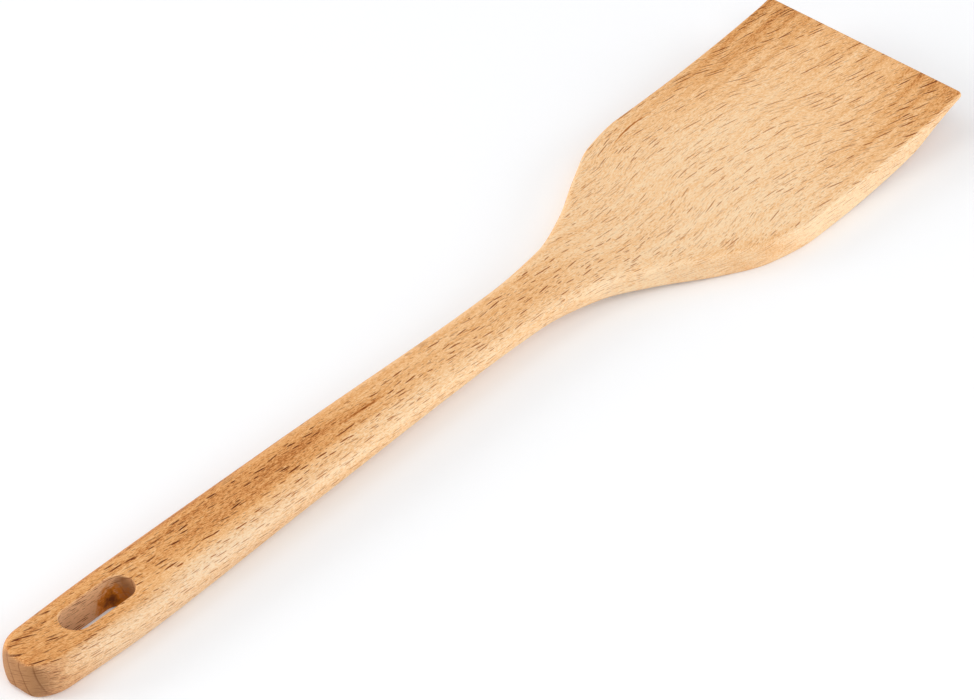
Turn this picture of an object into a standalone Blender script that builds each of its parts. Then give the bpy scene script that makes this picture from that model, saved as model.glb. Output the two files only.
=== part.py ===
"""A spatula cut from one board of beech, as it lies on a table.

Lengths are in metres. X runs from the end of the handle to the tip of the blade, Y runs across and Z is up.
The origin is on the table, under the middle of the length. Distances "along" start at the handle's end.
"""

import math

import bmesh
import bpy
import numpy as np

# Lengths along the spatula, from the handle's end to the tip
HANDLE_LENGTH = 0.184
SHOULDER_LENGTH = 0.0815
BLADE_SIDE_LENGTH = 0.0645

# Widths across, before the corners are rounded
HANDLE_END_WIDTH = 0.0200
HANDLE_WIDTH = 0.0228
HANDLE_MIDDLE_WIDTH = 0.0205
NECK_WIDTH = 0.0177
BLADE_WIDTH = 0.0685
TIP_WIDTH = 0.0675

# Thicknesses of the wood
HANDLE_END_THICKNESS = 0.0105
HANDLE_MIDDLE_THICKNESS = 0.0096
NECK_THICKNESS = 0.0073
BLADE_THICKNESS = 0.0074
TIP_THICKNESS = 0.0012

# The underside touches the table under the handle's end and under the heel of the blade, and rises between
# them. Past the heel the whole blade curls up, and its underside is planed thin towards the tip.
HANDLE_REST_LENGTH = 0.020
HANDLE_MIDDLE_RISE = 0.0019
NECK_RISE = 0.0038
TIP_CURL = 0.0055
THINNED_LENGTH = 0.050

# Roundings
END_CORNER_RADIUS = 0.0088
END_EDGE_RADIUS = 0.0022
TIP_CORNER_RADIUS = 0.0012
BLADE_EDGE_RADIUS = 0.0010

# The hanging slot through the handle, and the overrun of its cutter past both faces
SLOT_FROM_END = 0.0165
SLOT_LENGTH = 0.0232
SLOT_WIDTH = 0.0086
SLOT_RIM_RADIUS = 0.0005
CUT_OVERRUN = 0.002

LENGTH = HANDLE_LENGTH + SHOULDER_LENGTH + BLADE_SIDE_LENGTH
BLADE_LENGTH = SHOULDER_LENGTH + BLADE_SIDE_LENGTH

# Where the handle is widest and where its middle sizes hold, of its length
HANDLE_WIDEST_SHARE = 0.20
HANDLE_MIDDLE_SHARE = 0.55

# The shoulder's curve: how far along it, and how much of the step from neck width to blade width is made
SHOULDER_SHARES = ((0.25, 0.09), (0.45, 0.325), (0.65, 0.667), (0.82, 0.913))

# The flat heel starts and ends here, of the blade's length
HEEL_SHARES = (0.42, 0.53)

# Planing of the underside: how far along the thinned length, and how much of the thickness step is made
THINNING_SHARES = ((0.0, 0.0), (0.30, 0.06), (0.56, 0.17), (0.80, 0.66), (1.0, 1.0))

# The handle's edges are rounded over. Across, the rounding is a share of the half width, which grows from the
# handle's end to its neck. Up, it is a share of the half thickness, also where the blade is thinner than its
# rounding. The rounding fades to the blade's small one between two places, of the handle's length
# and of the blade's.
ROUND_ACROSS_SHARES = (0.35, 0.70)
ROUND_UP_SHARE = 0.94
ROUND_GROWN_SHARE = 0.80
FADE_START_SHARE = 0.87
FADE_END_SHARE = 0.42

# A corner radius takes at most this much of the half width
MOST_CORNER_SHARE = 0.9

# How finely the curves are cut into flats
CORNER_STEPS = 7
END_STEPS = 9
HANDLE_STEPS = 20
SHOULDER_STEPS = 22
BLADE_SIDE_STEPS = 14
TIP_STEPS = 4
SLOT_END_STEPS = 14
RIM_STEPS = 3

# Faces that meet at less than this are shaded as one round surface
SMOOTH_DEGREES = 40

BEECH_COLOUR = (0.76, 0.50, 0.28, 1.0)
BEECH_ROUGHNESS = 0.62


def clear_scene():
    for obj in list(bpy.data.objects):
        bpy.data.objects.remove(obj, do_unlink=True)


def collection(name):
    made = bpy.data.collections.new(name)
    bpy.context.scene.collection.children.link(made)
    return made


def wood(name, colour, roughness):
    material = bpy.data.materials.new(name)
    material.use_nodes = True
    shader = material.node_tree.nodes["Principled BSDF"]
    shader.inputs["Base Color"].default_value = colour
    shader.inputs["Roughness"].default_value = roughness
    shader.inputs["Metallic"].default_value = 0.0
    material.diffuse_color = colour
    return material


def smooth_curve(at, stations):
    """Value at each distance on the smooth curve through (distance, value) stations.

    It is a cubic between neighbours whose slope at a station is the harmonic mean of the slopes on both
    sides, or zero at a peak, so that it never swings past a station and stays level between equal ones.
    """
    place, value = np.array(stations).T
    gap = np.diff(place)
    slope = np.diff(value) / gap
    before, after = slope[:-1], slope[1:]
    turns = before * after <= 0
    both = np.where(turns, 1, before + after)
    tangent = np.concatenate([slope[:1], np.where(turns, 0, 2 * before * after / both), slope[-1:]])
    i = np.clip(np.searchsorted(place, at, side="right") - 1, 0, len(gap) - 1)
    t = np.clip((at - place[i]) / gap[i], 0, 1)
    rise = t * t * (3 - 2 * t)
    bend = gap[i] * (t * (1 - t) ** 2 * tangent[i] - t * t * (1 - t) * tangent[i + 1])
    return value[i] + (value[i + 1] - value[i]) * rise + bend


def rounded_off(from_end, radius):
    """How much a quarter round of this radius takes off, at a distance from the end that it rounds."""
    left = np.clip(radius - from_end, 0, radius)
    return radius - np.sqrt(radius**2 - left**2)


def stations_along():
    """Distances of the cross-sections, closer together where the outline turns faster."""
    corner = min(END_CORNER_RADIUS, MOST_CORNER_SHARE * HANDLE_END_WIDTH / 2)
    turn = np.linspace(0, math.pi / 2, END_STEPS + 1)
    tip_turn = np.linspace(math.pi / 2, 0, TIP_STEPS + 1)
    tip_start = LENGTH - TIP_CORNER_RADIUS
    shoulder_end = HANDLE_LENGTH + SHOULDER_LENGTH
    return np.concatenate(
        [
            corner * (1 - np.cos(turn)),
            np.linspace(corner, HANDLE_LENGTH, HANDLE_STEPS + 1)[1:],
            np.linspace(HANDLE_LENGTH, shoulder_end, SHOULDER_STEPS + 1)[1:],
            np.linspace(shoulder_end, tip_start, BLADE_SIDE_STEPS + 1)[1:],
            LENGTH - TIP_CORNER_RADIUS * (1 - np.cos(tip_turn))[1:],
        ]
    )


def half_width(along):
    """Half of the width: the curve through the named widths, less the rounded corners at both ends."""
    middle = HANDLE_MIDDLE_SHARE * HANDLE_LENGTH
    widest = HANDLE_WIDEST_SHARE * HANDLE_LENGTH
    flare = BLADE_WIDTH - NECK_WIDTH
    widths = [
        (0, HANDLE_END_WIDTH),
        (widest, HANDLE_WIDTH),
        (middle, HANDLE_MIDDLE_WIDTH),
        (HANDLE_LENGTH, NECK_WIDTH),
    ]
    for far, grown in SHOULDER_SHARES:
        widths.append((HANDLE_LENGTH + far * SHOULDER_LENGTH, NECK_WIDTH + grown * flare))
    widths += [(HANDLE_LENGTH + SHOULDER_LENGTH, BLADE_WIDTH), (LENGTH, TIP_WIDTH)]
    half = smooth_curve(along, widths) / 2
    half -= rounded_off(along, min(END_CORNER_RADIUS, MOST_CORNER_SHARE * HANDLE_END_WIDTH / 2))
    return half - rounded_off(LENGTH - along, TIP_CORNER_RADIUS)


def faces_height(along):
    """Heights of the underside and of the top, on the middle line."""
    middle = HANDLE_MIDDLE_SHARE * HANDLE_LENGTH
    heel_start, heel_end = (HANDLE_LENGTH + share * BLADE_LENGTH for share in HEEL_SHARES)
    rise = smooth_curve(
        along,
        [
            (0, 0),
            (HANDLE_REST_LENGTH, 0),
            (middle, HANDLE_MIDDLE_RISE),
            (HANDLE_LENGTH, NECK_RISE),
            (heel_start, 0),
            (LENGTH, 0),
        ],
    )
    rise += TIP_CURL * np.clip((along - heel_end) / (LENGTH - heel_end), 0, 1) ** 2
    thickness = smooth_curve(
        along,
        [
            (0, HANDLE_END_THICKNESS),
            (middle, HANDLE_MIDDLE_THICKNESS),
            (HANDLE_LENGTH, NECK_THICKNESS),
            (heel_start, BLADE_THICKNESS),
            (LENGTH, BLADE_THICKNESS),
        ],
    )
    thinned = (along - LENGTH + THINNED_LENGTH) / THINNED_LENGTH
    planed = (BLADE_THICKNESS - TIP_THICKNESS) * smooth_curve(np.clip(thinned, 0, 1), THINNING_SHARES)
    end_round = rounded_off(along, END_EDGE_RADIUS)
    return rise + planed + end_round, rise + thickness - end_round


def edge_rounding(along, half, half_thick):
    """Reach of the edge rounding, across and up: broad on the handle, small on the blade."""
    grown = np.clip(along / (ROUND_GROWN_SHARE * HANDLE_LENGTH), 0, 1)
    start_share, end_share = ROUND_ACROSS_SHARES
    handle_across = (start_share + (end_share - start_share) * grown) * half
    handle_up = ROUND_UP_SHARE * half_thick
    fade_start = FADE_START_SHARE * HANDLE_LENGTH
    fade_end = HANDLE_LENGTH + FADE_END_SHARE * BLADE_LENGTH
    fade = smooth_curve(along, [(0, 0), (fade_start, 0), (fade_end, 1), (LENGTH, 1)])
    across = handle_across + (BLADE_EDGE_RADIUS - handle_across) * fade
    up = handle_up + (BLADE_EDGE_RADIUS - handle_up) * fade
    return across, np.minimum(up, handle_up)


def body_sections():
    """One closed ring of points for each station: a rectangle whose corners are quarter ellipses."""
    along = stations_along()
    half = half_width(along)
    under, top = faces_height(along)
    middle, half_thick = (top + under) / 2, (top - under) / 2
    across, up = edge_rounding(along, half, half_thick)
    turn = np.linspace(0, math.pi / 2, CORNER_STEPS + 1)
    cos = np.concatenate([np.cos(turn), -np.sin(turn), -np.cos(turn), np.sin(turn)])
    sin = np.concatenate([np.sin(turn), np.cos(turn), -np.sin(turn), -np.cos(turn)])
    side = np.repeat((1, -1, -1, 1), CORNER_STEPS + 1)
    level = np.repeat((1, 1, -1, -1), CORNER_STEPS + 1)
    y = np.outer(half - across, side) + np.outer(across, cos)
    z = middle[:, None] + np.outer(half_thick - up, level) + np.outer(up, sin)
    x = np.repeat(along[:, None] - LENGTH / 2, y.shape[1], axis=1)
    return np.stack([x, y, z], axis=-1)


def slot_outline(offset, height):
    """The slot's outline, a straight run between two half circles, widened by offset, at one height."""
    radius = SLOT_WIDTH / 2
    run = SLOT_LENGTH - SLOT_WIDTH
    first = SLOT_FROM_END + radius - LENGTH / 2
    turn = np.linspace(-math.pi / 2, math.pi / 2, SLOT_END_STEPS + 1)
    far_x = first + run + (radius + offset) * np.cos(turn)
    near_x = first - (radius + offset) * np.cos(turn)
    y = (radius + offset) * np.sin(turn)
    x = np.concatenate([far_x, near_x])
    return np.stack([x, np.concatenate([y, -y]), np.full(len(x), height)], axis=-1)


def slot_sections():
    """Rings of the slot's cutter, going up: it flares by the rim's rounding at both faces of the handle."""
    middle = SLOT_FROM_END + SLOT_LENGTH / 2
    under, top = (float(face[0]) for face in faces_height(np.array([middle])))
    turn = np.linspace(0, math.pi / 2, RIM_STEPS + 1)
    flare = SLOT_RIM_RADIUS * (1 - np.cos(turn))
    reach = SLOT_RIM_RADIUS * np.sin(turn)
    rings = [slot_outline(SLOT_RIM_RADIUS, under - CUT_OVERRUN)]
    for out, up in zip(flare[::-1], reach[::-1]):
        rings.append(slot_outline(out, under + SLOT_RIM_RADIUS - up))
    for out, up in zip(flare, reach):
        rings.append(slot_outline(out, top - SLOT_RIM_RADIUS + up))
    rings.append(slot_outline(SLOT_RIM_RADIUS, top + CUT_OVERRUN))
    return np.array(rings)


def loft(name, rings, into):
    """A closed body through rings of equal point counts, with a flat cap on the first and on the last."""
    bm = bmesh.new()
    loops = [[bm.verts.new(point) for point in ring] for ring in rings]
    count = len(loops[0])
    for low, high in zip(loops, loops[1:]):
        for i in range(count):
            j = (i + 1) % count
            bm.faces.new((low[i], low[j], high[j], high[i]))
    bm.faces.new(loops[0][::-1])
    bm.faces.new(loops[-1])
    bmesh.ops.recalc_face_normals(bm, faces=bm.faces)
    mesh = bpy.data.meshes.new(name)
    bm.to_mesh(mesh)
    bm.free()
    obj = bpy.data.objects.new(name, mesh)
    into.objects.link(obj)
    return obj


def build():
    clear_scene()
    parts = collection("spatula")
    cutters = collection("cutters")
    body = loft("spatula_body", body_sections(), parts)
    body.data.materials.append(wood("beech", BEECH_COLOUR, BEECH_ROUGHNESS))
    body.data.shade_smooth()
    body.data.set_sharp_from_angle(angle=math.radians(SMOOTH_DEGREES))
    slot = loft("slot_cutter", slot_sections(), cutters)
    slot.hide_render = True
    slot.display_type = "WIRE"
    cut = body.modifiers.new("hanging_slot", "BOOLEAN")
    cut.operation = "DIFFERENCE"
    cut.solver = "EXACT"
    cut.object = slot


build()
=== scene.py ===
"""Looks of a beech spatula on a white table: its fine surface, its wood, the table, the light and camera."""

import math

import bpy
import numpy as np
from mathutils import Matrix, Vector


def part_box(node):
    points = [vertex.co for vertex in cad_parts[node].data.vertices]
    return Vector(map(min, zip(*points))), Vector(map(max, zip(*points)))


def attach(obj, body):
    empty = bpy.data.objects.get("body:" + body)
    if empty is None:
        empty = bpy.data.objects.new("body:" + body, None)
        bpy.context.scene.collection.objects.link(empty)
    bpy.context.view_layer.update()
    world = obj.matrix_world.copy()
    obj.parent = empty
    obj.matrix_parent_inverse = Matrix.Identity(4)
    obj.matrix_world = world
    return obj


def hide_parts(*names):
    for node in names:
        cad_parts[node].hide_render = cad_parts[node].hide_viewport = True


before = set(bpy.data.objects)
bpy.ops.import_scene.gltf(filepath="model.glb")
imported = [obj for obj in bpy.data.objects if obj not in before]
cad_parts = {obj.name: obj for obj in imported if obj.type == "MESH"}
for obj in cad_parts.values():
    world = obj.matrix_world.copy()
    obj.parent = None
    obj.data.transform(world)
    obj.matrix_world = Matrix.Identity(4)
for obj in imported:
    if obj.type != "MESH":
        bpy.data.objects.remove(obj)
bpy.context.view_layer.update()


# The spatula is one piece of European beech. It is sawn from a board, shaped on a sander and rubbed smooth,
# so its edges are broad and soft along the handle, and small and even round the blade.
# A router cuts the hanging slot near the handle's end. Lengths are in metres.
low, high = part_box("spatula_body")
LENGTH = high.x - low.x
BLADE_WIDTH = high.y - low.y
HANDLE_LENGTH = 0.184
SHOULDER_LENGTH = 0.0815
HANDLE_END_WIDTH = 0.0200
HANDLE_WIDTH = 0.0228
HANDLE_MIDDLE_WIDTH = 0.0205
NECK_WIDTH = 0.0177
TIP_WIDTH = 0.0675
HANDLE_WIDEST_SHARE = 0.20
HANDLE_MIDDLE_SHARE = 0.55
SHOULDER_SHARES = ((0.25, 0.09), (0.45, 0.325), (0.65, 0.667), (0.82, 0.913))

HANDLE_END_THICKNESS = 0.0105
HANDLE_MIDDLE_THICKNESS = 0.0096
NECK_THICKNESS = 0.0073
BLADE_THICKNESS = 0.0074
TIP_THICKNESS = 0.0012
HANDLE_REST_LENGTH = 0.020
HANDLE_MIDDLE_RISE = 0.0019
NECK_RISE = 0.0038
TIP_CURL = 0.0055
THINNED_LENGTH = 0.050
HEEL_SHARES = (0.42, 0.53)
THINNING_SHARES = ((0.0, 0.0), (0.30, 0.06), (0.56, 0.17), (0.80, 0.66), (1.0, 1.0))

END_CORNER_RADIUS = 0.0088
END_EDGE_RADIUS = 0.0022
TIP_CORNER_RADIUS = 0.0012
TIP_EDGE_RADIUS = 0.0004
BLADE_EDGE_RADIUS = 0.0010
ROUND_ACROSS_SHARES = (0.35, 0.70)
ROUND_UP_SHARE = 0.94
ROUND_GROWN_SHARE = 0.80
FADE_START_SHARE = 0.87
FADE_END_SHARE = 0.42

SLOT_FROM_END = 0.0165
SLOT_LENGTH = 0.0232
SLOT_WIDTH = 0.0086
SLOT_RIM_RADIUS = 0.0005
SLOT_MARGIN = 0.0016

# The grid: steps round an edge, across a face, up a side and round the corners at both ends, and the length
# of a step between those. The slot's window leaves some of a face's steps beside it, and the slot has steps
# of its own: to the rim, round it and down the wall.
CORNER_STEPS = 12
FLAT_STEPS = 48
SIDE_STEPS = 5
END_STEPS = 28
TIP_STEPS = 10
STEP_LENGTH = 0.0009
STEPS_BESIDE_WINDOW = 3
MARGIN_STEPS = 4
RIM_STEPS = 6
WALL_STEPS = 10


def smooth_curve(at, stations):
    """Cubic through (distance, value) stations. Its slope at one is the harmonic mean of those beside it."""
    place, value = np.array(stations).T
    gap = np.diff(place)
    slope = np.diff(value) / gap
    before, after = slope[:-1], slope[1:]
    turns = before * after <= 0
    both = np.where(turns, 1, before + after)
    tangent = np.concatenate([slope[:1], np.where(turns, 0, 2 * before * after / both), slope[-1:]])
    i = np.clip(np.searchsorted(place, at, side="right") - 1, 0, len(gap) - 1)
    t = np.clip((at - place[i]) / gap[i], 0, 1)
    rise = t * t * (3 - 2 * t)
    bend = gap[i] * (t * (1 - t) ** 2 * tangent[i] - t * t * (1 - t) * tangent[i + 1])
    return value[i] + (value[i + 1] - value[i]) * rise + bend


def rounded_off(from_end, radius):
    """What a quarter round takes off: radius less the root of radius squared less the rest squared."""
    left = np.clip(radius - from_end, 0, radius)
    return radius - np.sqrt(radius**2 - left**2)


def half_width(along):
    """Half of the width: the curve through the named widths, less the rounded corners at both ends."""
    flare = BLADE_WIDTH - NECK_WIDTH
    widths = [
        (0, HANDLE_END_WIDTH),
        (HANDLE_WIDEST_SHARE * HANDLE_LENGTH, HANDLE_WIDTH),
        (HANDLE_MIDDLE_SHARE * HANDLE_LENGTH, HANDLE_MIDDLE_WIDTH),
        (HANDLE_LENGTH, NECK_WIDTH),
    ]
    for far, grown in SHOULDER_SHARES:
        widths.append((HANDLE_LENGTH + far * SHOULDER_LENGTH, NECK_WIDTH + grown * flare))
    widths += [(HANDLE_LENGTH + SHOULDER_LENGTH, BLADE_WIDTH), (LENGTH, TIP_WIDTH)]
    half = smooth_curve(along, widths) / 2 - rounded_off(along, END_CORNER_RADIUS)
    return half - rounded_off(LENGTH - along, TIP_CORNER_RADIUS)


def faces_height(along):
    """Heights of the underside and of the top: a rise, a curl that grows squared, and a thickness."""
    middle = HANDLE_MIDDLE_SHARE * HANDLE_LENGTH
    heel_start, heel_end = (HANDLE_LENGTH + share * (LENGTH - HANDLE_LENGTH) for share in HEEL_SHARES)
    rises = [
        (0, 0),
        (HANDLE_REST_LENGTH, 0),
        (middle, HANDLE_MIDDLE_RISE),
        (HANDLE_LENGTH, NECK_RISE),
        (heel_start, 0),
        (LENGTH, 0),
    ]
    thicknesses = [
        (0, HANDLE_END_THICKNESS),
        (middle, HANDLE_MIDDLE_THICKNESS),
        (HANDLE_LENGTH, NECK_THICKNESS),
        (heel_start, BLADE_THICKNESS),
        (LENGTH, BLADE_THICKNESS),
    ]
    curled = np.clip((along - heel_end) / (LENGTH - heel_end), 0, 1)
    rise = smooth_curve(along, rises) + TIP_CURL * curled**2
    thinned = np.clip((along - LENGTH + THINNED_LENGTH) / THINNED_LENGTH, 0, 1)
    planed = (BLADE_THICKNESS - TIP_THICKNESS) * smooth_curve(thinned, THINNING_SHARES)
    ends = rounded_off(along, END_EDGE_RADIUS) + rounded_off(LENGTH - along, TIP_EDGE_RADIUS)
    return rise + planed + ends, rise + smooth_curve(along, thicknesses) - ends


def edge_rounding(along, half, half_thick):
    """Reach of the edge rounding, across and up: broad on the handle, fading to a small one on the blade."""
    grown = np.clip(along / (ROUND_GROWN_SHARE * HANDLE_LENGTH), 0, 1)
    start_share, end_share = ROUND_ACROSS_SHARES
    handle_across = (start_share + (end_share - start_share) * grown) * half
    handle_up = ROUND_UP_SHARE * half_thick
    fade_start = FADE_START_SHARE * HANDLE_LENGTH
    fade_end = HANDLE_LENGTH + FADE_END_SHARE * (LENGTH - HANDLE_LENGTH)
    fade = smooth_curve(along, [(0, 0), (fade_start, 0), (fade_end, 1), (LENGTH, 1)])
    across = handle_across + (BLADE_EDGE_RADIUS - handle_across) * fade
    up = handle_up + (BLADE_EDGE_RADIUS - handle_up) * fade
    return across, np.minimum(up, handle_up)


def even_steps(start, end):
    """Distances from start to end in even steps of about the grid's step length, without the first."""
    return np.linspace(start, end, round((end - start) / STEP_LENGTH) + 1)[1:]


def stations_along():
    """Distances of the rings: cosine steps round the corners at both ends, even steps between them."""
    turn = np.linspace(0, math.pi / 2, END_STEPS + 1)
    tip_turn = np.linspace(math.pi / 2, 0, TIP_STEPS + 1)[1:]
    slot_end = SLOT_FROM_END + SLOT_LENGTH
    return np.concatenate(
        [
            END_CORNER_RADIUS * (1 - np.cos(turn)),
            even_steps(END_CORNER_RADIUS, SLOT_FROM_END - SLOT_MARGIN),
            even_steps(SLOT_FROM_END - SLOT_MARGIN, slot_end + SLOT_MARGIN),
            even_steps(slot_end + SLOT_MARGIN, LENGTH - TIP_CORNER_RADIUS),
            LENGTH - TIP_CORNER_RADIUS * (1 - np.cos(tip_turn)),
        ]
    )


def ring_columns():
    """Where each column of a ring lies: (side, level) of its flat, (cos, sin) of its edge's quarter round.

    The ring goes from the left side over the top to the right side and back underneath.
    """
    turn = np.linspace(0, math.pi / 2, CORNER_STEPS + 1)
    cos, sin = np.cos(turn), np.sin(turn)
    one = np.ones_like(turn)
    across = np.linspace(1, -1, FLAT_STEPS + 1)[1:-1]
    down = np.linspace(1, -1, SIDE_STEPS + 1)[1:-1]
    top = np.stack([across, 0 * across + 1, 0 * across, 0 * across + 1])
    right = np.stack([0 * down - 1, down, 0 * down - 1, 0 * down])
    left_top = np.stack([one, one, cos, sin])
    right_top = np.stack([-one, one, -sin, cos])
    half_ring = np.concatenate([left_top, top, right_top, right], axis=1)
    return np.concatenate([half_ring, -half_ring], axis=1)


def ring_points(along, columns):
    """Points of the rings: the middle, plus half of the flat times side or level, plus the edge's rounding.

    The rounding is its reach across times cos, and its reach up times sin.
    """
    half = half_width(along)
    under, top = faces_height(along)
    half_thick = (top - under) / 2
    across, up = edge_rounding(along, half, half_thick)
    side, level, cos, sin = columns
    y = np.outer(half - across, side) + np.outer(across, cos)
    z = ((top + under) / 2)[:, None] + np.outer(half_thick - up, level) + np.outer(up, sin)
    x = np.repeat(along[:, None] - LENGTH / 2, y.shape[1], axis=1)
    return np.stack([x, y, z], axis=-1)


def slot_rows(around):
    """Rows of points from a window in the top face, over the rim and down the slot to one in the underside.

    Each row is a stadium: the point of the slot's middle line that is nearest to the window's point, plus the
    slot's half width and an offset, towards that point. The offset shrinks to the rim's radius, and round the
    rim to nothing, while the height goes from one face of the handle to the other. Milled, which goes with
    the rows, is 0 on the faces and 1 on the wall.
    """
    radius = SLOT_WIDTH / 2
    first = SLOT_FROM_END + radius - LENGTH / 2
    last = first + SLOT_LENGTH - SLOT_WIDTH
    heart = np.stack([np.clip(around[:, 0], first, last), 0 * around[:, 0]], axis=-1)
    out = around[:, :2] - heart
    far = np.linalg.norm(out, axis=1, keepdims=True)
    out = out / far
    rim = radius + SLOT_RIM_RADIUS
    share = np.linspace(0, 1, MARGIN_STEPS + 1)[1:, None, None]
    margin = heart + out * (far + (rim - far) * share)
    turn = np.linspace(0, math.pi / 2, RIM_STEPS + 1)[1:, None, None]
    rounding = heart + out * (rim - SLOT_RIM_RADIUS * np.sin(turn))
    wall = np.repeat((heart + out * radius)[None], WALL_STEPS - 1, axis=0)
    flat = np.concatenate([margin, rounding, wall, rounding[::-1], margin[::-1]])
    under, top = faces_height(flat[:, :, 0] + LENGTH / 2)
    drop = np.concatenate([0 * share, SLOT_RIM_RADIUS * (1 - np.cos(turn))])[:, :, 0]
    count = len(drop)
    down = np.linspace(0, 1, WALL_STEPS + 1)[1:-1, None]
    wall_top = (top - SLOT_RIM_RADIUS)[count:-count]
    wall_foot = (under + SLOT_RIM_RADIUS)[count:-count]
    wall_height = wall_top * (1 - down) + wall_foot * down
    z = np.concatenate([top[:count] - drop, wall_height, under[-count:] + drop[::-1]])
    milled = np.concatenate([drop, drop[:1] + 0 * down + SLOT_RIM_RADIUS, drop[::-1]]) / SLOT_RIM_RADIUS
    return np.concatenate([flat, z[:, :, None]], axis=-1), np.repeat(milled, len(around), axis=1)


def quads(index):
    """Faces between neighbouring rows and columns of a grid of vertex numbers."""
    corners = [index[:-1, :-1], index[:-1, 1:], index[1:, 1:], index[1:, :-1]]
    return np.stack(corners, axis=-1)


def spatula_mesh(name):
    """The skin: the rings as a tube with two caps, and the slot's rows between a window in each face."""
    along = stations_along()
    columns = ring_columns()
    rings = ring_points(along, columns)
    ring_count, column_count = rings.shape[:2]
    number = np.arange(ring_count * column_count).reshape(ring_count, column_count)
    skin = quads(np.concatenate([number, number[:, :1]], axis=1))

    first = int(np.argmin(abs(along - (SLOT_FROM_END - SLOT_MARGIN))))
    last = int(np.argmin(abs(along - (SLOT_FROM_END + SLOT_LENGTH + SLOT_MARGIN))))
    left = CORNER_STEPS + STEPS_BESIDE_WINDOW
    right = CORNER_STEPS + FLAT_STEPS - STEPS_BESIDE_WINDOW
    under = 2 * CORNER_STEPS + FLAT_STEPS + column_count // 2
    kept = np.ones(skin.shape[:2], dtype=bool)
    kept[first:last, left:right] = False
    kept[first:last, under - right : under - left] = False
    ahead, across = np.arange(first, last), np.arange(left, right)
    i = np.concatenate([ahead, 0 * across + last, ahead[::-1] + 1, 0 * across + first])
    j = np.concatenate([0 * ahead + left, across, 0 * ahead + right, across[::-1] + 1])
    rows, milled = slot_rows(rings[i, j])
    slot_number = number.size + np.arange(milled.size).reshape(milled.shape)
    slot_number = np.concatenate([number[i, j][None], slot_number, number[i, under - j][None]])
    slot_number = np.concatenate([slot_number, slot_number[:, :1]], axis=1)

    points = np.concatenate([rings.reshape(-1, 3), rows.reshape(-1, 3)])
    faces = skin[kept].tolist() + quads(slot_number.T).reshape(-1, 4).tolist()
    faces += [number[0][::-1].tolist(), number[-1].tolist()]
    mesh = bpy.data.meshes.new(name)
    mesh.from_pydata(points, [], faces)
    wall = mesh.attributes.new("milled", "FLOAT", "POINT")
    wall.data.foreach_set("value", np.concatenate([np.zeros(number.size), milled.ravel()]).astype(np.float32))
    mesh.shade_smooth()
    mesh.validate()
    return mesh


spatula = bpy.data.objects.new("beech_spatula", spatula_mesh("beech_spatula"))
bpy.context.scene.collection.objects.link(spatula)


def linear(hex_colour):
    """An sRGB hex colour as linear RGBA."""
    parts = [int(hex_colour[i : i + 2], 16) / 255 for i in (0, 2, 4)]
    return [p / 12.92 if p <= 0.04045 else ((p + 0.055) / 1.055) ** 2.4 for p in parts] + [1.0]


def add(tree, kind, links=(), **settings):
    """A new node: settings are its properties, and links give a socket a value, or a node or output to read.

    A socket goes by number, or by name among those that the settings leave in use, and a node stands for its
    first output in use.
    """
    node = tree.nodes.new("ShaderNode" + kind)
    for name, value in settings.items():
        setattr(node, name, value)
    for name, value in dict(links).items():
        socket = node.inputs[name] if isinstance(name, int) else next(
            one for one in node.inputs if one.enabled and one.name == name
        )
        if isinstance(value, bpy.types.Node):
            value = next(one for one in value.outputs if one.enabled)
        if isinstance(value, bpy.types.NodeSocket):
            tree.links.new(value, socket)
        else:
            socket.default_value = value
    return node


# Sanded beech: pale pinkish wood with a closed, even grain and a thin darker line where each year ends.
# Sanding cuts its rays, flat spindles of brown cells that point at the tree's pith, into short dark dashes.
# It is duller where the fibres come out, at the handle's end and in the slot. Lengths are in millimetres.
MM_PER_METRE = 1000.0
PITH_ACROSS = 250.0
PITH_BELOW = 96.0
RING_WIDTH = 4.0
WAVE_LENGTH = 28.0
WAVE_ACROSS = 1.2
WAVE_UP = 0.4

# A noise texture's middle, and the range that it mostly stays in
NOISE_MIDDLE = (0.5, 0.5, 0.5)
NOISE_RANGE = {"From Min": 0.3, "From Max": 0.7}

# How far the surface has turned to the right where the painted side light starts, and where it is full
SIDE_RANGE = {"From Min": 0.05, "From Max": 0.6}

# How far the fibres wander across the board, at shares of its length
MOST_WANDER = 32.0
WANDER = (
    (0.0, 0.0),
    (0.12, 10.6),
    (0.24, 13.6),
    (0.36, 15.6),
    (0.485, 18.3),
    (0.606, 19.7),
    (0.71, 25.0),
    (0.79, 21.8),
    (0.864, 22.0),
    (0.924, 26.4),
    (1.0, 28.6),
)

# Depth of tone at shares of the length, from 0, the palest wood, to 1, the deepest, and what the edges add
TONE_ALONG = (
    (0.0, 0.80),
    (0.10, 0.69),
    (0.20, 0.77),
    (0.30, 0.73),
    (0.38, 0.54),
    (0.46, 0.44),
    (0.55, 0.43),
    (0.66, 0.22),
    (0.80, 0.14),
    (0.90, 0.25),
    (0.97, 0.38),
    (1.0, 0.51),
)
EDGE_TONE_ALONG = (
    (0.0, 0.0),
    (0.62, 0.0),
    (0.72, 0.10),
    (0.82, 0.24),
    (0.92, 0.30),
    (1.0, 0.26),
)

# Across the board: the middle that the deeper edges are measured from, where they start and are full, how
# much later they start on the right, and where the handle's strip of painted light starts and is lightest
EDGE_TONE_MIDDLE = 1.8
EDGE_TONE_START = 9.0
EDGE_TONE_FULL = 27.0
EDGE_TONE_SKEW = 0.16
EDGE_TONE_SKEW_REACH = 8.0
PAINTED_LIGHT_BAND_START = -2.0
PAINTED_LIGHT_BAND_EDGE = -9.2

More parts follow.
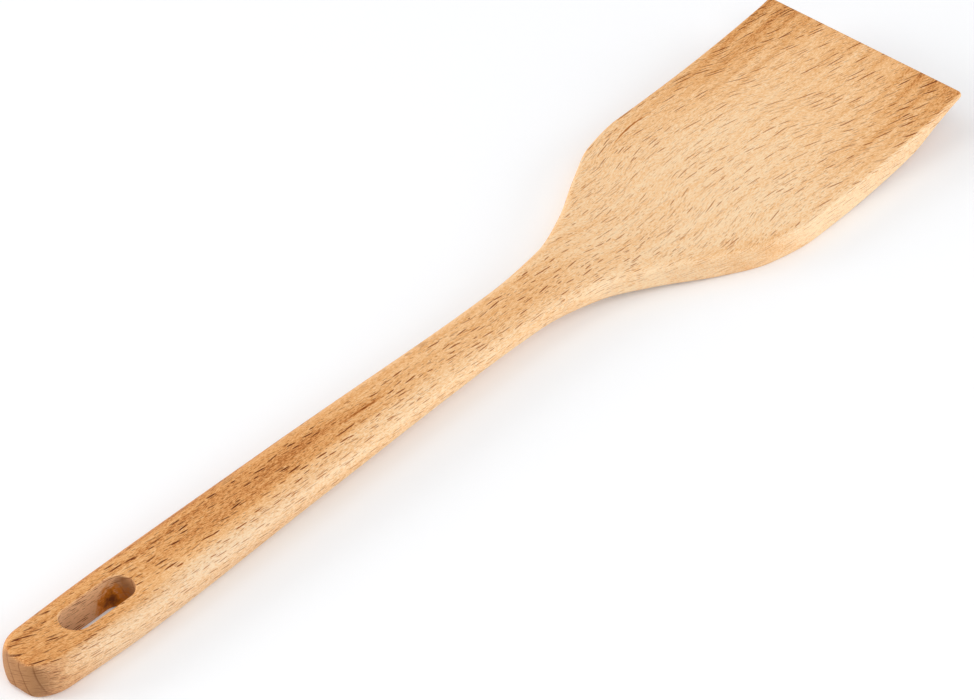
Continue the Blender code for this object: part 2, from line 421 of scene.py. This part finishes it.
# The sets of rays: the size of a cell that holds one, the half axes of the largest, the start of the grid of
# cells, all along, round and out, and the share of the cells that hold one
LARGE_RAYS = ((4.6, 0.60, 4.2), (2.9, 0.110, 2.7), (0.0, 0.0, 0.0), 0.72)
SMALL_RAYS = ((2.4, 0.34, 2.0), (1.4, 0.066, 1.2), (7.3, 3.1, 5.7), 0.75)
LONG_RAYS = ((7.6, 0.62, 4.2), (4.6, 0.100, 2.7), (0.4, 8.3, 3.7), 0.75)

# A ray's most lean, the shortest one's share of the longest, the share of the kept ones that are drawn in
# full, the share of a ray's squared reach that is fully dark, and how dark the small ones are
RAY_LEAN = 0.06
SHORTEST_RAY_SHARE = 0.35
FULL_RAY_SHARE = 0.4
RAY_CORE_SHARE = 0.40
SMALL_RAY_STRENGTH = 0.6

# Streaks lie along the rings, and fine vessels along the fibres: how many to a millimetre, along and across.
# The vessels are drawn about four times as coarse as they are, to show.
STREAKS_PER_MM = (0.02, 0.35, 0.35)
VESSELS_PER_MM = (0.95, 4.2, 4.2)
LATE_WOOD_DEPTH = 0.20
STREAK_DEPTH = 0.2
VESSEL_DEPTH = 0.2
VESSEL_RELIEF = 0.04

# The plain dark streaks: place along and across, half length, half width, slope, strength and bend
DARK_STREAKS = (
    ((-40.0, -0.2), 13.0, 0.7, -0.04, 0.6, 0.0),
    ((-62.0, 2.4), 40.0, 2.8, -0.01, 0.14, 0.0),
    ((98.6, 28.9), 12.0, 0.42, 0.10, 1.2, -0.015),
    ((80.0, -29.0), 28.0, 7.0, -0.4, 0.2, 0.0),
)

# The scorch in the slot: its middle, how far it reaches, is full and is charred, and how blotches shift that
SCORCH_PLACE = (-128.8, 3.8, 3.0)
SCORCH_REACH = 6.2
SCORCH_FULL_REACH = 2.6
CHAR_REACH = 3.2
BLOTCHES_PER_MM = 0.7
BLOTCH_SHIFT = 1.6

# The wood's colours at depths of tone, and pairs of colours from the paler to the darker
WOOD_COLOURS = ((0.0, "fcdeb6"), (0.35, "f5c590"), (0.70, "e2a463"), (0.90, "d08c50"), (1.0, "b06a30"))
END_COLOURS = ("aa7a50", "865834")
RAY_COLOURS = ("a85408", "5a2000")
SCORCH_COLOURS = ("cc7c10", "6a3200")
# The grey of the painted sheen and shade on the handle's side near its end
PAINTED_SHEEN_COLOUR = "c0beba"
DULL_COLOUR = "e9bd92"

beech = bpy.data.materials.new("beech_sanded")
beech.use_nodes = True
tree = beech.node_tree
shader = tree.nodes["Principled BSDF"]


def curve_along(share, points, most):
    """A smooth curve of the share along the spatula through (share, value) points, as a part of most."""
    node = add(tree, "FloatCurve", {"Value": share})
    curve = node.mapping.curves[0]
    curve.points[0].location = (0, points[0][1] / most)
    curve.points[-1].location = (1, points[-1][1] / most)
    for at, value in points[1:-1]:
        curve.points.new(at, value / most)
    node.mapping.update()
    return node


# Where a point lies in the tree, from the pith: the rings follow the board, and the fibres wander across it
coordinates = add(tree, "TexCoord")
mm = add(tree, "VectorMath", {0: coordinates.outputs["Object"], "Scale": MM_PER_METRE}, operation="SCALE")
spot = add(tree, "SeparateXYZ", {0: mm})
half_board = LENGTH * MM_PER_METRE / 2
share = add(tree, "MapRange", {"Value": spot.outputs["X"], "From Min": -half_board, "From Max": half_board})
wave = add(tree, "TexNoise", {"Vector": mm, "Scale": 1 / WAVE_LENGTH, "Detail": 3.0})
wave = add(tree, "VectorMath", {0: wave.outputs["Color"], 1: NOISE_MIDDLE}, operation="SUBTRACT")
wave = add(tree, "VectorMath", {0: wave, 1: (0.0, 2 * WAVE_ACROSS, 2 * WAVE_UP)}, operation="MULTIPLY")
in_tree = add(tree, "VectorMath", {0: mm, 1: wave}, operation="ADD")
in_tree = add(tree, "VectorMath", {0: in_tree, 1: (0.0, -PITH_ACROSS, PITH_BELOW)}, operation="ADD")
ring_place = add(tree, "VectorMath", {0: in_tree, 1: (0.0, 1.0, 1.0)}, operation="MULTIPLY")
ring_place = add(tree, "VectorMath", {0: ring_place}, operation="LENGTH")

wander = add(tree, "Math", {0: curve_along(share, WANDER, MOST_WANDER), 1: MOST_WANDER}, operation="MULTIPLY")
in_fibres = add(tree, "VectorMath", {0: in_tree, 1: add(tree, "CombineXYZ", {"Y": wander})}, operation="ADD")
parts = add(tree, "SeparateXYZ", {0: in_fibres})
across = add(tree, "Math", {0: parts.outputs["Y"], 1: -1.0}, operation="MULTIPLY")
radius = add(tree, "CombineXYZ", {"Y": across, "Z": parts.outputs["Z"]})
outward = add(tree, "VectorMath", {0: radius}, operation="LENGTH")
turn = add(tree, "Math", {0: parts.outputs["Z"], 1: across}, operation="ARCTAN2")
around = add(tree, "Math", {0: turn, 1: math.hypot(PITH_ACROSS, PITH_BELOW)}, operation="MULTIPLY")
trunk = add(tree, "CombineXYZ", {"X": spot.outputs["X"], "Y": around, "Z": outward})

# How the surface is cut: across the fibres, on a side, or flat along the rays. Cut flat, the rays hardly
# show, and cut squarely, they are drawn thicker than they are, to show.
facing = add(tree, "SeparateXYZ", {0: coordinates.outputs["Normal"]})
end_on = add(tree, "Math", {0: facing.outputs["X"]}, operation="ABSOLUTE")
sideways = add(tree, "Math", {0: facing.outputs["Y"], 1: -1.0}, operation="MULTIPLY")
ray_across = add(tree, "VectorMath", {0: radius}, operation="NORMALIZE")
ray_across = add(tree, "SeparateXYZ", {0: ray_across})
flat_on = add(tree, "Math", {0: facing.outputs["Y"], 1: ray_across.outputs["Z"]}, operation="MULTIPLY")
flat_on = add(
    tree,
    "Math",
    {0: facing.outputs["Z"], 1: ray_across.outputs["Y"], 2: flat_on},
    operation="MULTIPLY_ADD",
)
flat_on = add(tree, "Math", {0: flat_on}, operation="ABSOLUTE")
shown = add(tree, "MapRange", {"Value": flat_on, "From Min": 0.99, "From Max": 0.95, "To Min": 0.3})
thicker = add(
    tree,
    "MapRange",
    {"Value": flat_on, "From Min": 0.9, "From Max": 0.3, "To Min": 1.0, "To Max": 1.2},
)

# What is left of the depth of tone where light is painted on: the right side, which faces the light from the
# right, is painted lighter, and so is the handle from well up on the top face to the edge, where its rounding
# turns to that light. Low on the handle's side, painted shade keeps more of the depth. The handle's end and
# the slot's rim keep it all.
painted_light_depth = add(tree, "MapRange", {"Value": sideways, **SIDE_RANGE, "To Min": 1.0, "To Max": 0.32})
begun = add(tree, "MapRange", {"Value": share, "From Min": 0.08, "From Max": 0.16})
ended = add(tree, "MapRange", {"Value": share, "From Min": 0.62, "From Max": 0.50})
banded = add(tree, "Math", {0: begun, 1: ended}, operation="MULTIPLY")
painted_light_band = add(
    tree,
    "MapRange",
    {
        "Value": spot.outputs["Y"],
        "From Min": PAINTED_LIGHT_BAND_START,
        "From Max": PAINTED_LIGHT_BAND_EDGE,
        "To Min": 1.0,
        "To Max": 0.12,
    },
)
painted_light_band = add(tree, "MapRange", {"Value": banded, "To Min": 1.0, "To Max": painted_light_band})
painted_shade_low_side = add(tree, "MapRange", {"Value": sideways, "From Min": 0.7, "From Max": 1.0, "To Max": 0.42})
painted_shade_low_side = add(tree, "Math", {0: painted_shade_low_side, 1: banded}, operation="MULTIPLY")
near_end = add(tree, "MapRange", {"Value": share, "From Min": 0.08, "From Max": 0.01})
milled = add(tree, "Attribute", attribute_name="milled").outputs["Fac"]
slot_rim = add(tree, "MapRange", {"Value": milled, "From Max": 0.2})
painted_light_depth = add(tree, "Math", {0: painted_light_depth, 1: painted_light_band}, operation="MINIMUM")
for least in (painted_shade_low_side, near_end, slot_rim):
    painted_light_depth = add(tree, "Math", {0: painted_light_depth, 1: least}, operation="MAXIMUM")

# Towards the blade's edges the colour is deeper, and on the right that starts later
tone_along = curve_along(share, TONE_ALONG, 1.0)
off_centre = add(tree, "Math", {0: spot.outputs["Y"], 1: EDGE_TONE_MIDDLE}, operation="SUBTRACT")
later = add(
    tree,
    "MapRange",
    {
        "Value": off_centre,
        "From Min": -EDGE_TONE_SKEW_REACH,
        "From Max": EDGE_TONE_SKEW_REACH,
        "To Min": -EDGE_TONE_SKEW,
        "To Max": 0.0,
    },
)
off_centre = add(tree, "Math", {0: off_centre}, operation="ABSOLUTE")
off_centre = add(
    tree,
    "MapRange",
    {"Value": off_centre, "From Min": EDGE_TONE_START, "From Max": EDGE_TONE_FULL},
    interpolation_type="SMOOTHSTEP",
)
edge_tone = curve_along(add(tree, "Math", {0: share, 1: later}, operation="ADD"), EDGE_TONE_ALONG, 1.0)
deep = add(tree, "Math", {0: off_centre, 1: edge_tone, 2: tone_along}, operation="MULTIPLY_ADD")
depth = add(tree, "Math", {0: deep, 1: painted_light_depth}, operation="MULTIPLY")
broader = add(tree, "MapRange", {"Value": deep, "From Max": 0.6, "To Min": 0.78, "To Max": 1.05})
thicker = add(tree, "Math", {0: thicker, 1: broader}, operation="MULTIPLY")


def rays(cell, most, start, kept):
    """Darkness of one set of rays, 0 to 1.

    Each cell of a jittered grid holds one flat spindle: one less the sum of the squared distances from its
    middle, along, round and out, each in half axes of its own. It leans a little its own way, and a share of
    the cells is kept.
    """
    per_mm = [1 / size for size in cell]
    scaled = add(tree, "VectorMath", {0: trunk, 1: per_mm, 2: start}, operation="MULTIPLY_ADD")
    cells = add(tree, "TexVoronoi", {"Vector": scaled, "Scale": 1.0, "Randomness": 1.0})
    luck = add(tree, "SeparateXYZ", {0: cells.outputs["Color"]})
    offset = add(tree, "VectorMath", {0: scaled, 1: cells.outputs["Position"]}, operation="SUBTRACT")
    offset = add(tree, "VectorMath", {0: offset, 1: cell}, operation="MULTIPLY")
    lean = add(tree, "MapRange", {"Value": luck.outputs["Z"], "To Min": -RAY_LEAN, "To Max": RAY_LEAN})
    lean = add(tree, "Math", {0: add(tree, "SeparateXYZ", {0: offset}), 1: lean}, operation="MULTIPLY")
    offset = add(tree, "VectorMath", {0: offset, 1: add(tree, "CombineXYZ", {"Y": lean})}, operation="ADD")
    longest, thickest, deepest = most
    shortest = longest * SHORTEST_RAY_SHARE
    length = add(tree, "MapRange", {"Value": luck.outputs["X"], "To Min": shortest, "To Max": longest})
    thickness = add(tree, "Math", {0: thicker, 1: thickest}, operation="MULTIPLY")
    axes = add(tree, "CombineXYZ", {"X": length, "Y": thickness, "Z": deepest})
    offset = add(tree, "VectorMath", {0: offset, 1: axes}, operation="DIVIDE")
    far = add(tree, "VectorMath", {0: offset, 1: offset}, operation="DOT_PRODUCT")
    spindle = add(
        tree,
        "MapRange",
        {"Value": far, "From Min": 1.0, "From Max": RAY_CORE_SHARE},
        interpolation_type="SMOOTHSTEP",
    )
    unkept, full = 1 - kept, 1 - kept * FULL_RAY_SHARE
    there = add(tree, "MapRange", {"Value": luck.outputs["Y"], "From Min": unkept, "From Max": full})
    return add(tree, "Math", {0: spindle, 1: there}, operation="MULTIPLY")


# Growth rings: darker towards the end of each year, with a crisp edge where the next one starts
year = add(tree, "Math", {0: ring_place, 1: 1 / RING_WIDTH}, operation="MULTIPLY")
season = add(tree, "Math", {0: year}, operation="FRACT")
late = add(
    tree,
    "MapRange",
    {"Value": season, "From Min": 0.35, "From Max": 0.97},
    interpolation_type="SMOOTHSTEP",
)
over = add(tree, "MapRange", {"Value": season, "From Min": 1.0, "From Max": 0.95})
late = add(tree, "Math", {0: late, 1: over}, operation="MULTIPLY")

# The tone is the depth, deepened by the rings, the streaks and the vessels, which show more in deeper wood
streak_place = add(tree, "VectorMath", {0: in_tree, 1: STREAKS_PER_MM}, operation="MULTIPLY")
streak = add(tree, "TexNoise", {"Vector": streak_place, "Scale": 1.0, "Detail": 2.0})
vessel_place = add(tree, "VectorMath", {0: trunk, 1: VESSELS_PER_MM}, operation="MULTIPLY")
vessel = add(tree, "TexNoise", {"Vector": vessel_place, "Scale": 1.0, "Detail": 2.0, "Roughness": 0.7})

streaks = add(
    tree,
    "MapRange",
    {"Value": streak, **NOISE_RANGE, "To Min": -STREAK_DEPTH, "To Max": STREAK_DEPTH},
)
vessels = add(
    tree,
    "MapRange",
    {"Value": vessel, **NOISE_RANGE, "To Min": -VESSEL_DEPTH, "To Max": VESSEL_DEPTH},
)
rings = add(tree, "Math", {0: late, 1: LATE_WOOD_DEPTH, 2: streaks}, operation="MULTIPLY_ADD")
grown = add(tree, "MapRange", {"Value": depth, "To Min": 0.38, "To Max": 0.66})
tone = add(tree, "Math", {0: rings, 1: grown, 2: depth}, operation="MULTIPLY_ADD")
coarser = add(tree, "MapRange", {"Value": depth, "From Max": 0.6, "To Min": 1.45, "To Max": 1.55})
tone = add(tree, "Math", {0: vessels, 1: coarser, 2: tone}, operation="MULTIPLY_ADD")


def dark_streak(tone, place, half_length, half_width, slope, strength, bend):
    """The tone, deeper on one soft line: by its strength at its place, and less the farther it is from there.

    The distance is measured in the line's half sizes, along and across. The line runs across by its slope
    times the distance along, plus its bend times that squared.
    """
    offset = add(tree, "VectorMath", {0: mm, 1: (*place, 0.0)}, operation="SUBTRACT")
    offset = add(tree, "SeparateXYZ", {0: offset})
    across = add(tree, "Math", {0: offset, 1: -slope, 2: offset.outputs["Y"]}, operation="MULTIPLY_ADD")
    squared = add(tree, "Math", {0: offset, 1: offset}, operation="MULTIPLY")
    across = add(tree, "Math", {0: squared, 1: -bend, 2: across}, operation="MULTIPLY_ADD")
    offset = add(tree, "CombineXYZ", {"X": offset, "Y": across})
    offset = add(tree, "VectorMath", {0: offset, 1: (half_length, half_width, 1.0)}, operation="DIVIDE")
    far = add(tree, "VectorMath", {0: offset}, operation="LENGTH")
    near = add(
        tree,
        "MapRange",
        {"Value": far, "From Min": 1.0, "From Max": 0.0},
        interpolation_type="SMOOTHSTEP",
    )
    return add(tree, "Math", {0: near, 1: strength, 2: tone}, operation="MULTIPLY_ADD")


for line in DARK_STREAKS:
    tone = dark_streak(tone, *line)
wood = add(tree, "ValToRGB", {0: tone})
ramp = wood.color_ramp.elements
ramp[0].color = linear(WOOD_COLOURS[0][1])
ramp[1].color = linear(WOOD_COLOURS[-1][1])
for at, colour in WOOD_COLOURS[1:-1]:
    ramp.new(at).color = linear(colour)

# Near its end the handle's side is painted greyer, a painted sheen of the white table with some painted
# shade, and inside the slot the router left the wood dull
painted_sheen_share = add(tree, "MapRange", {"Value": sideways, **SIDE_RANGE, "To Max": 0.13})
handled = add(tree, "MapRange", {"Value": share, "From Min": 0.36, "From Max": 0.20})
painted_sheen_share = add(tree, "Math", {0: painted_sheen_share, 1: handled}, operation="MULTIPLY")
wood = add(tree, "Mix", {"Factor": painted_sheen_share, "A": wood, "B": linear(PAINTED_SHEEN_COLOUR)}, data_type="RGBA")
dull_share = add(tree, "MapRange", {"Value": milled, "From Min": 0.5, "From Max": 1.0, "To Max": 0.8})
wood = add(tree, "Mix", {"Factor": dull_share, "A": wood, "B": linear(DULL_COLOUR)}, data_type="RGBA")

# End grain: duller and browner, with each year's edge a thin dark line
end_share = add(tree, "MapRange", {"Value": end_on, "From Min": 0.50, "From Max": 0.86, "To Max": 0.92})
year_line = add(tree, "MapRange", {"Value": season, "From Min": 0.84, "From Max": 0.93})
year_line = add(tree, "Math", {0: year_line, 1: over}, operation="MULTIPLY")
paler_end, darker_end = (linear(colour) for colour in END_COLOURS)
end_wood = add(tree, "Mix", {"Factor": year_line, "A": paler_end, "B": darker_end}, data_type="RGBA")
wood = add(tree, "Mix", {"Factor": end_share, "A": wood, "B": end_wood}, data_type="RGBA")

# The rays are longer towards the tip, darker in deeper wood, and fainter on the side and in the end grain
longer = add(tree, "MapRange", {"Value": share, "From Min": 0.67, "From Max": 0.74})
long_rays = add(tree, "Math", {0: rays(*LONG_RAYS), 1: longer}, operation="MULTIPLY")
shorter = add(tree, "MapRange", {"Value": share, "From Min": 0.77, "From Max": 0.67, "To Min": 0.3})
large_rays = add(tree, "Math", {0: rays(*LARGE_RAYS), 1: shorter}, operation="MULTIPLY")
ray_tone = add(tree, "Math", {0: rays(*SMALL_RAYS), 1: SMALL_RAY_STRENGTH}, operation="MULTIPLY")
for others in (large_rays, long_rays):
    ray_tone = add(tree, "Math", {0: others, 1: ray_tone}, operation="MAXIMUM")
stronger = add(tree, "MapRange", {"Value": deep, "From Max": 0.5, "To Min": 0.62, "To Max": 1.0})
on_side = add(tree, "MapRange", {"Value": sideways, "From Min": 0.8, "From Max": 0.3, "To Min": 0.68})
on_side = add(tree, "Math", {0: on_side, 1: milled}, operation="MAXIMUM")
on_end = add(tree, "MapRange", {"Value": end_share, "To Min": 1.0, "To Max": 0.45})
for strength in (stronger, shown, on_side, on_end):
    ray_tone = add(tree, "Math", {0: ray_tone, 1: strength}, operation="MULTIPLY")
darker = add(tree, "MapRange", {"Value": depth, "From Max": 0.8})
paler_ray, darker_ray = (linear(colour) for colour in RAY_COLOURS)
ray_wood = add(tree, "Mix", {"Factor": darker, "A": paler_ray, "B": darker_ray}, data_type="RGBA")
wood = add(tree, "Mix", {"Factor": ray_tone, "A": wood, "B": ray_wood}, data_type="RGBA")

# The router scorched the wood at the slot's far end, in blotches that are darkest at their middle
blotch = add(tree, "TexNoise", {"Vector": mm, "Scale": BLOTCHES_PER_MM, "Detail": 2.0})
blotch = add(
    tree,
    "MapRange",
    {"Value": blotch, **NOISE_RANGE, "To Min": -BLOTCH_SHIFT, "To Max": BLOTCH_SHIFT},
)
burn = add(tree, "VectorMath", {0: mm, 1: SCORCH_PLACE}, operation="DISTANCE")
burn = add(tree, "Math", {0: burn, 1: blotch}, operation="ADD")
scorch = add(
    tree,
    "MapRange",
    {"Value": burn, "From Min": SCORCH_REACH, "From Max": SCORCH_FULL_REACH, "To Max": 0.96},
    interpolation_type="SMOOTHSTEP",
)
scorch = add(tree, "Math", {0: scorch, 1: milled}, operation="MULTIPLY")
char = add(tree, "MapRange", {"Value": burn, "From Min": CHAR_REACH, "From Max": 0.0})
singed, charred = (linear(colour) for colour in SCORCH_COLOURS)
burnt = add(tree, "Mix", {"Factor": char, "A": singed, "B": charred}, data_type="RGBA")
wood = add(tree, "Mix", {"Factor": scorch, "A": wood, "B": burnt}, data_type="RGBA")

# Bare wood is matt, a little less so between the vessels, which the sanding leaves as fine grooves
gloss = add(tree, "MapRange", {"Value": vessel, **NOISE_RANGE, "To Min": 0.46, "To Max": 0.60})
groove_depth = VESSEL_RELIEF / MM_PER_METRE
relief = add(tree, "Bump", {"Strength": 0.35, "Distance": groove_depth, "Height": vessel})
colour = next(one for one in wood.outputs if one.enabled)
tree.links.new(colour, shader.inputs["Base Color"])
tree.links.new(gloss.outputs["Result"], shader.inputs["Roughness"])
tree.links.new(relief.outputs["Normal"], shader.inputs["Normal"])
shader.inputs["Specular IOR Level"].default_value = 0.15
spatula.data.materials.append(beech)

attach(spatula, "root")
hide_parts("spatula_body")


# The table is one sheet, painted matt white and so wide that its edge is out of sight. It takes the shadow,
# and a faint glow, which only the camera sees, lifts it to the white of a studio.
TABLE_SIZE = 6.0
TABLE_COLOUR = "f2f3f5"
TABLE_GLOW = 0.124

reach = TABLE_SIZE / 2
corners = [(-reach, -reach, 0), (reach, -reach, 0), (reach, reach, 0), (-reach, reach, 0)]
floor_mesh = bpy.data.meshes.new("white_table")
floor_mesh.from_pydata(corners, [], [(0, 1, 2, 3)])
floor = bpy.data.objects.new("white_table", floor_mesh)
bpy.context.scene.collection.objects.link(floor)

table = bpy.data.materials.new("white_table_sheet")
table.use_nodes = True
tree = table.node_tree
tree.nodes.clear()
paint = add(tree, "BsdfDiffuse", {"Color": linear(TABLE_COLOUR)})
glow = add(tree, "Emission", {"Strength": TABLE_GLOW})
seen = add(tree, "LightPath").outputs["Is Camera Ray"]
seen_glow = add(tree, "MixShader", {0: seen, 2: glow})
both = add(tree, "AddShader", {0: paint, 1: seen_glow})
add(tree, "OutputMaterial", {"Surface": both})
floor_mesh.materials.append(table)


# The light is soft studio light from a pale room and four square lamps: a low bank on the picture's left, a
# weaker one on its right, a higher lamp on the camera's side, and a faint one overhead, a little to the left.
# Lengths are in metres.
ROOM_COLOUR = "ffffff"
ROOM_LEVEL = 0.44
LAMP_DISTANCE = 1.5
LAMP_SIZE = 1.0

# Each lamp's azimuth, from +X to +Y, and its elevation above the table, in degrees, and its level
LAMPS = {
    "left_bank": (131, 12, 0.91),
    "right_bank": (311, 12, 0.57),
    "front_lamp": (-110, 50, 0.26),
    "overhead_lamp": (131, 62, 0.15),
}

world = bpy.data.worlds.new("pale_room")
world.use_nodes = True
tree = world.node_tree
background = tree.nodes["Background"]
background.inputs["Color"].default_value = linear(ROOM_COLOUR)
seen = add(tree, "LightPath").outputs["Is Camera Ray"]
strength = add(tree, "MapRange", {"Value": seen, "To Min": ROOM_LEVEL, "To Max": 1.0})
tree.links.new(strength.outputs["Result"], background.inputs["Strength"])
bpy.context.scene.world = world


def aim(thing, place, target):
    """Puts a lamp or camera at place, with its local -Z towards target and its Y upright."""
    back = (place - target) / np.linalg.norm(place - target)
    right = np.cross([0, 0, 1], back)
    right = right / np.linalg.norm(right)
    turn = np.stack([right, np.cross(back, right), back], axis=1)
    matrix = np.eye(4)
    matrix[:3, :3] = turn
    matrix[:3, 3] = place
    thing.matrix_world = Matrix(matrix)


def lamp(name, azimuth, elevation, level):
    """A square lamp aimed at the origin, whose power lights a facing white surface at level.

    That power is pi squared times the level times the distance squared.
    """
    light = bpy.data.lights.new(name, "AREA")
    light.size = LAMP_SIZE
    light.energy = math.pi**2 * level * LAMP_DISTANCE**2
    lamp_object = bpy.data.objects.new(name, light)
    a, e = math.radians(azimuth), math.radians(elevation)
    toward = np.array([math.cos(a) * math.cos(e), math.sin(a) * math.cos(e), math.sin(e)])
    aim(lamp_object, toward * LAMP_DISTANCE, np.zeros(3))
    bpy.context.scene.collection.objects.link(lamp_object)


for name, setting in LAMPS.items():
    lamp(name, *setting)


# The camera looks down from the handle's right through a long lens, so the far end hardly looks smaller. Its
# place is the one that the spatula's two outlines gave, and its aim is a little off the middle.
AIM_HEIGHT = 0.005
AIM_RIGHT = 0.00499
AIM_UP = 0.00067
CAMERA_DISTANCE = 1.5
CAMERA_TURN = math.radians(48.53)
CAMERA_ELEVATION = math.radians(39.26)
IMAGE_WIDTH = 974
FOCAL_PIXELS = 5802
SENSOR_WIDTH = 36.0

right = np.array([math.cos(CAMERA_TURN), -math.sin(CAMERA_TURN), 0])
level = np.array([-math.sin(CAMERA_TURN), -math.cos(CAMERA_TURN), 0])
back = level * math.cos(CAMERA_ELEVATION) + np.array([0, 0, math.sin(CAMERA_ELEVATION)])
centre = np.array([0, 0, AIM_HEIGHT])
target = centre + AIM_RIGHT * right + AIM_UP * np.cross(back, right)
camera_data = bpy.data.cameras.new("camera")
camera_data.sensor_width = SENSOR_WIDTH
camera_data.lens = FOCAL_PIXELS / IMAGE_WIDTH * SENSOR_WIDTH
camera = bpy.data.objects.new("camera", camera_data)
aim(camera, centre + CAMERA_DISTANCE * back, target)
bpy.context.scene.collection.objects.link(camera)
bpy.context.scene.camera = camera
bpy.context.scene.view_settings.view_transform = "Standard"
